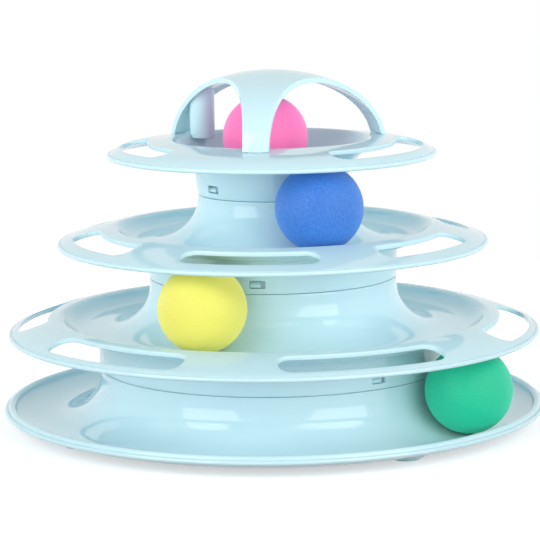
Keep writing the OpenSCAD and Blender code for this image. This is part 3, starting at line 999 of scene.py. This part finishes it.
# %% [markdown]
# A short round post hangs from the rear left arm. Its upper end runs into the arm's wall and its
# lower end stops just over the bowl's side. Under each foot, a flat tab reaches through the brim.
# %% Post and tabs
post_r = 6.0
post_path = 41.5
post_drop = 2.2
post_low = bowl_crest_z - post_drop
post_gap = 0.5
post_round = 0.6
POST_SEGMENTS = 64
tab_drop = 1.5
tab_low = bowl_crest_z - 2 * wall - tab_drop
tab_high = bowl_crest_z + wall / 4


def add_post(bm):
    middle = post_path * plan(arm_az + arm_turns[2])
    made = bmesh.ops.create_cone(
        bm, cap_ends=True, segments=POST_SEGMENTS, radius1=post_r, radius2=post_r, depth=1,
        matrix=Matrix.Translation(middle),
    )["verts"]
    low = [v for v in made if v.co.z < 0]
    for v in made:
        radius = v.co.to_2d().length
        inside = dome_r - dome_wall / 2
        top = dome_z + (dome_h - dome_wall / 2) * math.sqrt(1 - (radius / inside) ** 2)
        v.co.z = max(post_low, bowl_z(radius, 0) + post_gap) if v.co.z < 0 else top
    edges = [e for e in bm.edges if all(v in low for v in e.verts)]
    bevel(bm, edges, post_round, ROUND_STEPS)


def add_tabs(bm):
    for turn in arm_turns:
        made = bmesh.ops.create_cube(bm, size=1)["verts"]
        bmesh.ops.scale(bm, verts=made, vec=(tab_w, tab_t, tab_high - tab_low))
        bmesh.ops.translate(bm, verts=made, vec=(0, -foot_mid, (tab_high + tab_low) / 2))
        bmesh.ops.rotate(
            bm, verts=made, cent=(0, 0, 0), matrix=Matrix.Rotation(math.radians(arm_az + turn), 3, "Z")
        )


add_post(bm)
add_tabs(bm)
store(bm, "dome_cage_shell", "dome_cage", shell_plastic)

# %% [markdown]
# The balls. Ground foam is never quite even, so an icosphere of the ball's true size is pushed in
# and out by a few hundredths of a millimetre. The colour of each comes with its own speckle.
# %% Balls
unevenness = 0.05
unevenness_size = 3.0
BALL_SUBDIVISIONS = 6
ball_looks = {
    "ball_green": ("#19C79D", "#26D5A8", 0.35),
    "ball_yellow": ("#E7E362", "#EEEA7A", 0.3),
    "ball_blue": ("#3575C6", "#478BE0", 0.6),
    "ball_pink": ("#FD78BC", "#FF8ECA", 0.3),
}


def foam_ball(node, dark, light, speckle):
    middle = centre(node)
    bm = bmesh.new()
    bmesh.ops.create_icosphere(
        bm, subdivisions=BALL_SUBDIVISIONS, radius=ball_r - unevenness, matrix=Matrix.Translation(middle)
    )
    for v in bm.verts:
        away = (v.co - middle).normalized()
        v.co += away * unevenness * noise.noise(v.co / unevenness_size)
    foam = ground_foam("ground_eva_foam_" + node[5:], dark, light, speckle)
    return store(bm, node + "_foam", node, foam)


for node, (dark, light, speckle) in ball_looks.items():
    foam_ball(node, dark, light, speckle)

# %% [markdown]
# The floor is a plain pale sheet. Seen directly or in a reflection it gets some glow on top of its
# real light, so that it turns white and keeps the object's shadow, and what it throws back at the
# object is held down. Beyond it lies a white backdrop. The room's own light comes from low down all
# round, and more of it from behind.
# %% Floor and world
floor_radius = 0.5
floor_white = 0.8
floor_bounce = 0.5
floor_glow = 0.5
low_light = 1.65
high_light = 0.1
front_share = 0.75
back_share = 1.45


def grey(level):
    return (level, level, level, 1.0)


def seen_directly(tree):
    """One where the camera looks at a surface, or sees it mirrored."""
    path = add_node(tree, "ShaderNodeLightPath")
    return add_node(
        tree, "ShaderNodeMath", {0: path.outputs["Is Camera Ray"], 1: path.outputs["Is Glossy Ray"]},
        operation="MAXIMUM",
    ).outputs[0]


def paper_white():
    material, tree = new_material("white_paper_floor")
    paper = add_node(tree, "ShaderNodeBsdfDiffuse", {"Color": grey(floor_white)})
    bounce = add_node(tree, "ShaderNodeBsdfDiffuse", {"Color": grey(floor_bounce)})
    glow = add_node(tree, "ShaderNodeEmission", {"Color": grey(1), "Strength": floor_glow})
    lit = add_node(tree, "ShaderNodeAddShader", {0: paper.outputs[0], 1: glow.outputs[0]})
    mix = add_node(
        tree, "ShaderNodeMixShader", {0: seen_directly(tree), 1: bounce.outputs[0], 2: lit.outputs[0]}
    )
    add_node(tree, "ShaderNodeOutputMaterial", {"Surface": mix.outputs[0]})
    return material


floor_mesh = bpy.data.meshes.new("floor")
bm = bmesh.new()
bmesh.ops.create_circle(bm, cap_ends=True, segments=96, radius=floor_radius)
bm.to_mesh(floor_mesh)
bm.free()
floor_mesh.materials.append(paper_white())
floor = bpy.data.objects.new("floor", floor_mesh)
bpy.context.scene.collection.objects.link(floor)

world = bpy.data.worlds.new("studio")
bpy.context.scene.world = world
world.use_nodes = True
world.node_tree.nodes.clear()
direction = add_node(world.node_tree, "ShaderNodeTexCoord").outputs["Generated"]
ways = add_node(world.node_tree, "ShaderNodeSeparateXYZ", {0: direction}).outputs
upward = add_node(
    world.node_tree, "ShaderNodeMapRange",
    {"Value": ways["Z"], "From Min": 0.15, "From Max": 0.8, "To Min": low_light, "To Max": high_light},
)
backward = add_node(
    world.node_tree, "ShaderNodeMapRange",
    {"Value": ways["Y"], "From Min": -1.0, "From Max": 1.0, "To Min": front_share, "To Max": back_share},
)
level = add_node(
    world.node_tree, "ShaderNodeMath", {0: upward.outputs["Result"], 1: backward.outputs["Result"]},
    operation="MULTIPLY",
)
room = add_node(
    world.node_tree, "ShaderNodeBackground", {"Color": linear("#F6F9FB"), "Strength": level.outputs[0]}
)
backdrop = add_node(world.node_tree, "ShaderNodeBackground", {"Color": grey(1), "Strength": 1.0})
seen = add_node(
    world.node_tree, "ShaderNodeMixShader",
    {0: seen_directly(world.node_tree), 1: room.outputs[0], 2: backdrop.outputs[0]},
)
add_node(world.node_tree, "ShaderNodeOutputWorld", {"Surface": seen.outputs[0]})

# %% [markdown]
# Two tall soft boxes stand in front, left and right, and reach almost down to the floor. Their crisp
# reflections show on the hubs, cut off by the brims above and seen again through the slots.
# %% Lights
box_w = 0.97
box_h = 1.4
box_power = 10.0
box_away = 1.5
box_rise = math.radians(26)
box_aim = Vector((0, 0, 0.07))
box_azimuths = {"left_box": -42, "right_box": 42}


def soft_box(name, azimuth):
    """A rectangular soft box that faces the middle of the toy."""
    light = bpy.data.lights.new(name, "AREA")
    light.shape = "RECTANGLE"
    light.size = box_w
    light.size_y = box_h
    light.energy = box_power
    lamp = bpy.data.objects.new(name, light)
    away = math.cos(box_rise) * plan(azimuth) + math.sin(box_rise) * Vector((0, 0, 1))
    lamp.location = box_aim + away * box_away
    lamp.rotation_euler = (-away).to_track_quat("-Z", "Y").to_euler()
    bpy.context.scene.collection.objects.link(lamp)


for name, azimuth in box_azimuths.items():
    soft_box(name, azimuth)

# %% [markdown]
# The camera stands where the photograph was taken from, a little above the toy and far away, and is
# turned by under a degree.
# %% Camera
focal_px = 2486
photo_px = 540
camera_place = Vector((0, -1157.7, 254.9))
camera_aim = Vector((-1.43, 0, 70.6))
camera_roll = math.radians(-0.713)
camera_data = bpy.data.cameras.new("camera")
camera_data.sensor_width = 36
camera_data.lens = camera_data.sensor_width * focal_px / photo_px
camera = bpy.data.objects.new("camera", camera_data)
camera.location = camera_place * MM
look = camera_aim * MM - camera.location
camera.rotation_mode = "QUATERNION"
camera.rotation_quaternion = look.to_track_quat("-Z", "Y") @ Quaternion((0, 0, 1), camera_roll)
bpy.context.scene.collection.objects.link(camera)
bpy.context.scene.camera = camera
bpy.context.scene.view_settings.view_transform = "Standard"
